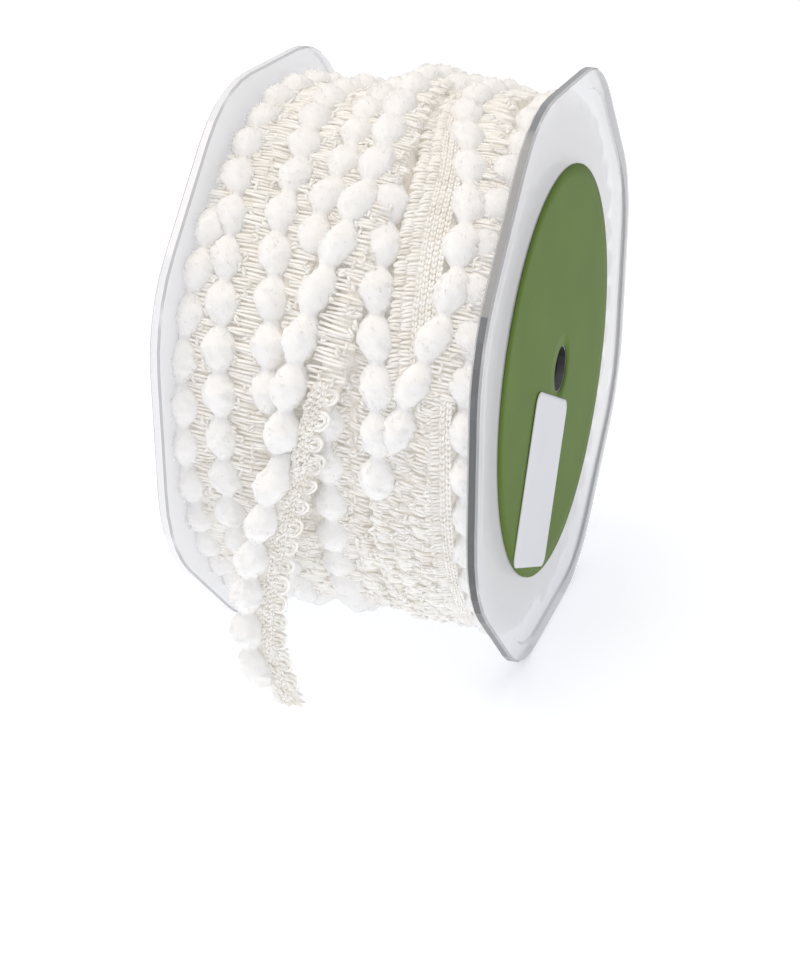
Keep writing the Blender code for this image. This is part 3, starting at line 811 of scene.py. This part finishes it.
def finish_named(name, make):
    """The material of this name, made the first time it is asked for."""
    return bpy.data.materials.get(name) or make(bpy.context.scene.trim_colours)


def fluff_finish():
    return finish_named("Polyester fluff, cut and tied", fluff_material)


def gimp_finish():
    return finish_named("Bright polyester gimp, spun", gimp_material)


def ground_finish():
    return finish_named("Polyester trim, wound layers", ground_material)


# Operators

class TRIM_OT_wound_layers(bpy.types.Operator):
    """Make the wound layers under the outer turns, with the lumps that show through the clear ends"""

    bl_idname = "trim.wound_layers"
    bl_label = "Wound layers"

    COLUMNS = 64
    STEPS = 360
    SIDE_RINGS = 20
    LAYER_DEPTH = 4.3
    BRAID_BED = 0.55
    FILLING = 0.4

    def execute(self, context):
        rng = np.random.default_rng(11)
        angles = np.arange(self.STEPS) * 360 / self.STEPS + TURN_START
        left = self.side_rings(angles, -1, rng)
        outside = self.outer_rings(angles, rng)
        right = self.side_rings(angles, 1, rng)[::-1]
        rings = np.concatenate((left, outside, right))
        points = rings.reshape(-1, 3)
        starts = np.arange(len(rings) + 1) * self.STEPS
        starts[-1] = 0
        roll = add_piece("wound_layers", points, [ring_faces(starts, self.STEPS)],
                         ground_finish())
        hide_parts("trim_roll")
        return {"FINISHED"}

    def outer_rings(self, angles, rng):
        across = np.linspace(-ROLL_HALF_WIDTH + 1.2, ROLL_HALF_WIDTH - 1.2, self.COLUMNS)[:, None]
        radius = np.full((self.COLUMNS, self.STEPS), GROUND_RADIUS + self.FILLING)
        for turn in TURNS[:-1]:
            middle = smooth_track(TURN_ANGLES, turn["braid_x"], angles)
            share = np.abs(across - middle) / (turn["braid_width"] / 2)
            top = LAYER_BRAID_RADIUS[turn["layer"]] - self.BRAID_BED - 0.5 * share**2
            if turn["turn"] == "last":
                top = np.where(angles < LAST_BRAID_START, 0, top + last_turn_lift(angles))
            radius = np.where(share < 1, np.maximum(radius, top), radius)
        radius = radius + rng.uniform(-0.15, 0.15, radius.shape)
        return round_points(across, radius, angles)

    def side_rings(self, angles, side, rng):
        """Rings of one side, from the bore out: a string of lumps for each wound layer."""
        radii = np.linspace(BORE_RADIUS, GROUND_RADIUS - 0.6, self.SIDE_RINGS)
        depth = np.zeros((self.SIDE_RINGS, self.STEPS))
        layers = int((GROUND_RADIUS - BORE_RADIUS) / self.LAYER_DEPTH)
        for layer in range(layers):
            middle = BORE_RADIUS + (layer + 0.55) * (GROUND_RADIUS - BORE_RADIUS) / layers
            count = round(2 * math.pi * middle / 6.4)
            phase = rng.uniform(0, 2 * math.pi)
            wobble = 0.5 * np.sin(np.radians(angles) * 3 + phase)
            along = np.cos(np.radians(angles) * count + phase)
            off = (radii[:, None] - middle - wobble) / (self.LAYER_DEPTH / 2)
            lump = np.clip(1 - off**2, 0, 1) ** 0.5 * (0.62 + 0.38 * along)
            depth = np.maximum(depth, lump)
        depth[[0, -1]] = 0
        x = side * (ROLL_HALF_WIDTH - 1.7 * (1 - depth) - rng.uniform(0, 0.12, depth.shape))
        return round_points(x, radii[:, None] * np.ones_like(depth), angles)


def round_points(x, radius, angles):
    """Points at these places along the spool, radii and angles, which share one shape."""
    x, radius, front = np.broadcast_arrays(x, radius, np.radians(angles))
    return np.stack((x, -radius * np.cos(front), radius * np.sin(front)), axis=-1)


class TRIM_OT_pompom_turns(bpy.types.Operator):
    """Wind the strings of pompoms of the outer turns"""

    bl_idname = "trim.pompom_turns"
    bl_label = "Pompoms on the roll"

    def execute(self, context):
        sizes = context.scene.trim_sizes
        for number, turn in enumerate(TURNS):
            rng = np.random.default_rng(100 + number)
            radius = LAYER_POMPOM_RADIUS[turn["layer"]]
            strip = turn_strip(turn, "pompom_x", radius)
            pitch = 2 * math.pi * radius / POMPOMS_PER_TURN
            forms = []
            for first, count in shown_runs(turn):
                middle = (first + turn["pompom_at"]) * pitch
                forms.append(fluff_string(strip, middle, count, pitch, sizes, rng))
                forms.append(fuzz(strip, middle, count, pitch, sizes, rng))
            points, faces = join_forms(forms)
            add_piece("pompoms_" + turn["turn"], points, faces, fluff_finish())
        return {"FINISHED"}


def shown_runs(turn):
    """First pompom and number of pompoms of each stretch of a turn that isn't covered."""
    spacing = 360 / POMPOMS_PER_TURN
    runs = []
    for low, high in turn["shown"]:
        inside = [k for k in range(POMPOMS_PER_TURN)
                  if low <= TURN_START + (k + turn["pompom_at"]) * spacing <= high]
        runs.append((inside[0], len(inside)))
    return runs


class TRIM_OT_braid_turns(bpy.types.Operator):
    """Lay the gimp braid of the outer turns"""

    bl_idname = "trim.braid_turns"
    bl_label = "Braid on the roll"

    TOP_DEPTH = 0.45

    def execute(self, context):
        sizes = context.scene.trim_sizes
        for number, turn in enumerate(TURNS[:-1]):
            rng = np.random.default_rng(200 + number)
            radius = LAYER_BRAID_RADIUS[turn["layer"]] - self.TOP_DEPTH
            strip = turn_strip(turn, "braid_x", radius)
            forms = []
            for low, high, make in self.stretches(turn):
                start = math.radians(low - TURN_START) * radius
                end = math.radians(high - TURN_START) * radius
                forms += make(strip, start, end, turn["braid_width"], sizes, rng)
            points, faces = join_forms(forms)
            add_piece("braid_" + turn["turn"], points, faces, gimp_finish())
        return {"FINISHED"}

    def stretches(self, turn):
        """Where the turn's braid runs, from one angle to the next, and how it lies there."""
        low = TURN_START
        found = []
        if turn["turn"] == "last":
            low = LAST_LACE_END
            found.append((LAST_BRAID_START, low, scalloped_braid))
        for knit_low, knit_high in turn["knitted"]:
            if knit_low > low:
                found.append((low, knit_low, looped_braid))
            found.append((knit_low, knit_high, knitted_braid))
            low = knit_high
        found.append((low, TURN_START + 360, looped_braid))
        return found


class TRIM_OT_loose_end(bpy.types.Operator):
    """Hang the loose end: its woven tape, pompoms and scalloped gimp edge"""

    bl_idname = "trim.loose_end"
    bl_label = "Loose end"

    TAPE_FROM = 1.2
    TAPE_TO = 6.3
    TAPE_THICKNESS = 0.5
    TAPE_STEPS = 92
    TAPE_COLUMNS = 12
    LEAD = 2.6

    def execute(self, context):
        sizes = context.scene.trim_sizes
        rng = np.random.default_rng(31)
        pitch = LOOSE_END_LENGTH / (LOOSE_END_POMPOMS + LOOSE_END_SPARE)
        tape = self.tape()
        points, faces = join_forms([
            fluff_string(hanging_strip, 0.5 * pitch, LOOSE_END_POMPOMS, pitch, sizes, rng,
                         lead=self.LEAD),
            fuzz(hanging_strip, 0.5 * pitch, LOOSE_END_POMPOMS, pitch, sizes, rng)])
        pompoms = add_piece("loose_end_pompoms", points, faces, fluff_finish())
        lace = scalloped_braid(hanging_strip, -0.8, LOOSE_END_LENGTH - 0.8, LOOSE_END_BRAID_WIDTH,
                               sizes, rng, middle=BRAID_OFFSET - 0.3)
        points, faces = join_forms(lace + [self.underside(sizes, rng)])
        braid = add_piece("loose_end_braid", points, faces, gimp_finish())
        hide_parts("trim_end")
        return {"FINISHED"}

    def tape(self):
        """The tape as one closed thin form, its edges rounded."""
        around = []
        half = self.TAPE_THICKNESS / 2
        middle = (self.TAPE_FROM + self.TAPE_TO) / 2
        reach = (self.TAPE_TO - self.TAPE_FROM) / 2
        for i in range(2 * self.TAPE_COLUMNS):
            turn = 2 * math.pi * (i + 0.5) / (2 * self.TAPE_COLUMNS)
            across = math.copysign(abs(math.cos(turn)) ** 0.6, math.cos(turn))
            height = math.copysign(abs(math.sin(turn)) ** 0.6, math.sin(turn))
            around.append((middle + reach * across, half * height - 0.25))
        across, height = np.array(around).T
        along = np.linspace(0, LOOSE_END_LENGTH, self.TAPE_STEPS + 1)[:, None]
        ripple = 0.12 * np.sin(along * 2 * math.pi / 1.8)
        points = hanging_strip(along, across[None, :], height[None, :] + ripple).reshape(-1, 3)
        quads, caps = tube_faces(1, self.TAPE_STEPS + 1, 2 * self.TAPE_COLUMNS)
        return add_piece("loose_end_tape", points, [quads, caps], ground_finish())

    def underside(self, sizes, rng):
        """The loops' other halves, behind the tape."""

        def behind(along, across, height):
            return hanging_strip(along, across, -0.6 - height)

        places = np.arange(0.8, LOOSE_END_LENGTH - 1.0, sizes.loop_pitch / MM)
        return loops(
            behind, shaken(rng, pairs(places, 1.9), 0.15),
            shaken(rng, pairs(places + 0.6, BRAID_OFFSET + 2.0), 0.15), sizes, rng)


class TRIM_OT_clear_spool(bpy.types.Operator):
    """Give the spool's ends and hub their clear moulded plastic"""

    bl_idname = "trim.clear_spool"
    bl_label = "Clear spool"

    def execute(self, context):
        plastic = finish_named("Crystal polystyrene, moulded", clear_plastic_material)
        for name in ("flange_left", "flange_right", "spool_hub"):
            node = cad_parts[name]
            for slot in node.material_slots:
                slot.material = plastic
            if not node.material_slots:
                node.data.materials.append(plastic)
        return {"FINISHED"}


def paper_faces(flat, low, thickness):
    """Rings of both faces of a piece of paper on the right-hand end, out over its front and back over
    its rear. flat holds the rings' places on the end, and low how far out its rear lies."""
    front = np.concatenate(((low + thickness)[..., None], flat), axis=-1)
    rear = np.concatenate((low[..., None], flat), axis=-1)[::-1]
    return np.concatenate((front, rear))


class TRIM_OT_paper_label(bpy.types.Operator):
    """Stick the bare round label and the bare sticker on the right-hand end"""

    bl_idname = "trim.paper_label"
    bl_label = "Label and sticker"

    SIDES = 128
    LABEL_RINGS = 14
    GAP = 0.04
    LABEL_WAVES = 0.1
    STICKER_STEPS = 24
    CORNER = 2.2

    def execute(self, context):
        colours = context.scene.trim_colours
        thickness = context.scene.trim_sizes.label_paper_thickness / MM
        green = paper_material("Green coated paper, die-cut", tuple(colours.label), 0.35, 0.55, 0.07)
        white = paper_material("White sticker paper, die-cut", tuple(colours.sticker), 0.4, 0.5, 0.02)
        label = self.label(thickness, green)
        sticker = self.sticker(thickness, white)
        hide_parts("label_disc")
        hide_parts("label_sticker")
        return {"FINISHED"}

    def label(self, thickness, paper):
        turn = 2 * np.pi * np.arange(self.SIDES) / self.SIDES
        share = np.linspace(0, 1, self.LABEL_RINGS)[:, None]
        hole = LABEL_HOLE_RADIUS * np.stack((np.cos(turn), np.sin(turn)), axis=-1)
        rim = np.array(LABEL_CENTRE) + LABEL_RADIUS * np.stack((np.cos(turn), np.sin(turn)), axis=-1)
        flat = hole * (1 - share[..., None]) + rim * share[..., None]
        lift = 0.03 * share * (1 + np.sin(3 * turn + 0.7)) + 0.02 * share * np.cos(5 * turn)
        rings = paper_faces(flat, END_FACE + self.GAP + lift, thickness)
        starts = np.arange(len(rings) + 1) * self.SIDES
        starts[-1] = 0
        return add_piece("paper_label", rings.reshape(-1, 3), [ring_faces(starts, self.SIDES)],
                         paper)

    def sticker(self, thickness, paper):
        """Rings drawn in from the sticker's outline to its middle, on both faces."""
        width, height = STICKER_SIZE
        outline = []
        for across, up, start in ((1, 1, 0), (-1, 1, 90), (-1, -1, 180), (1, -1, 270)):
            centre = (across * (width / 2 - self.CORNER), up * (height / 2 - self.CORNER))
            for step in range(self.STICKER_STEPS // 4 + 1):
                angle = math.radians(start + 90 * step / (self.STICKER_STEPS // 4))
                outline.append((centre[0] + self.CORNER * math.cos(angle),
                                centre[1] + self.CORNER * math.sin(angle)))
        outline = np.array(outline)
        shares = np.array((0.02, 0.3, 0.6, 0.85, 0.96, 1.0))[:, None, None]
        flat = outline[None] * shares
        turn = math.radians(STICKER_TURN)
        turned = np.stack((flat[..., 0] * math.cos(turn) - flat[..., 1] * math.sin(turn),
                           flat[..., 0] * math.sin(turn) + flat[..., 1] * math.cos(turn)), axis=-1)
        turned = turned + np.array(STICKER_CENTRE)
        curl = 0.12 * np.clip(flat[..., 1] / height + 0.1, 0, 1) ** 2 * shares[..., 0] ** 3
        low = END_FACE + self.GAP + thickness + self.LABEL_WAVES + curl
        rings = paper_faces(turned, low, thickness)
        sides = len(outline)
        quads, caps = tube_faces(1, len(rings), sides)
        return add_piece("paper_sticker", rings.reshape(-1, 3), [quads, caps], paper)


class TRIM_OT_studio(bpy.types.Operator):
    """Set up the floor, the soft lights and the camera"""

    bl_idname = "trim.studio"
    bl_label = "Studio"

    FLOOR_SIZE = 6.0

    def execute(self, context):
        scene = context.scene
        self.floor(scene)
        for row in LIGHTS:
            self.area_light(scene, row)
        world = bpy.data.worlds.new("white surround")
        world.use_nodes = True
        background = world.node_tree.nodes["Background"]
        background.inputs["Color"].default_value = rgba(linear_colour(SURROUND_COLOUR))
        background.inputs["Strength"].default_value = SURROUND_STRENGTH
        scene.world = world
        scene.view_settings.view_transform = "Standard"
        self.camera(scene)
        return {"FINISHED"}

    def floor(self, scene):
        half = self.FLOOR_SIZE / 2
        mesh = bpy.data.meshes.new("floor")
        corners = [(-half, -half, 0), (half, -half, 0), (half, half, 0), (-half, half, 0)]
        mesh.from_pydata(corners, [], [(0, 1, 2, 3)])
        mesh.materials.append(floor_material(scene.trim_colours))
        floor = bpy.data.objects.new("floor", mesh)
        scene.collection.objects.link(floor)

    def area_light(self, scene, row):
        light = bpy.data.lights.new(row["name"], "AREA")
        light.shape = "DISK"
        light.size = row["size"]
        light.energy = row["power"]
        light.color = linear_colour(row["colour"])
        obj = bpy.data.objects.new(row["name"], light)
        obj.location = row["place"]
        aim = Vector((0, 0, AXIS_HEIGHT)) - Vector(row["place"])
        obj.rotation_euler = aim.to_track_quat("-Z", "Y").to_euler()
        scene.collection.objects.link(obj)

    def camera(self, scene):
        lens = bpy.data.cameras.new("photo camera")
        lens.lens = CAMERA_LENS
        lens.sensor_width = 36.0
        lens.clip_start = 0.01
        obj = bpy.data.objects.new("photo camera", lens)
        back, up = Vector(CAMERA_BACK), Vector(CAMERA_UP)
        right = up.cross(back).normalized()
        place = Vector(CAMERA_PLACE) * MM + Vector((0, 0, AXIS_HEIGHT))
        turned = Matrix((right, back.cross(right).normalized(), back.normalized())).transposed()
        obj.matrix_world = Matrix.Translation(place) @ turned.to_4x4()
        scene.collection.objects.link(obj)
        scene.camera = obj


OPERATORS = (
    TRIM_OT_wound_layers,
    TRIM_OT_pompom_turns,
    TRIM_OT_braid_turns,
    TRIM_OT_loose_end,
    TRIM_OT_clear_spool,
    TRIM_OT_paper_label,
    TRIM_OT_studio,
)


class TRIM_PT_sidebar(bpy.types.Panel):
    """Sizes, colours and making steps of the trim"""

    bl_idname = "TRIM_PT_sidebar"
    bl_label = "Pompom fringe trim"
    bl_space_type = "VIEW_3D"
    bl_region_type = "UI"
    bl_category = "Trim"

    def draw(self, context):
        layout = self.layout
        for group in (context.scene.trim_sizes, context.scene.trim_colours):
            column = layout.column()
            for name in group.bl_rna.properties.keys():
                if name not in ("rna_type", "name"):
                    column.prop(group, name)
        for operator in OPERATORS:
            layout.operator(operator.bl_idname)


CLASSES = (TrimSizes, TrimColours, *OPERATORS, TRIM_PT_sidebar)


def register():
    for made in CLASSES:
        bpy.utils.register_class(made)
    bpy.types.Scene.trim_sizes = bpy.props.PointerProperty(type=TrimSizes)
    bpy.types.Scene.trim_colours = bpy.props.PointerProperty(type=TrimColours)


def unregister():
    del bpy.types.Scene.trim_colours
    del bpy.types.Scene.trim_sizes
    for made in reversed(CLASSES):
        bpy.utils.unregister_class(made)


def main():
    register()
    bpy.ops.trim.studio()
    bpy.ops.trim.clear_spool()
    bpy.ops.trim.wound_layers()
    bpy.ops.trim.pompom_turns()
    bpy.ops.trim.braid_turns()
    bpy.ops.trim.loose_end()
    bpy.ops.trim.paper_label()


if __name__ == "__main__":
    main()
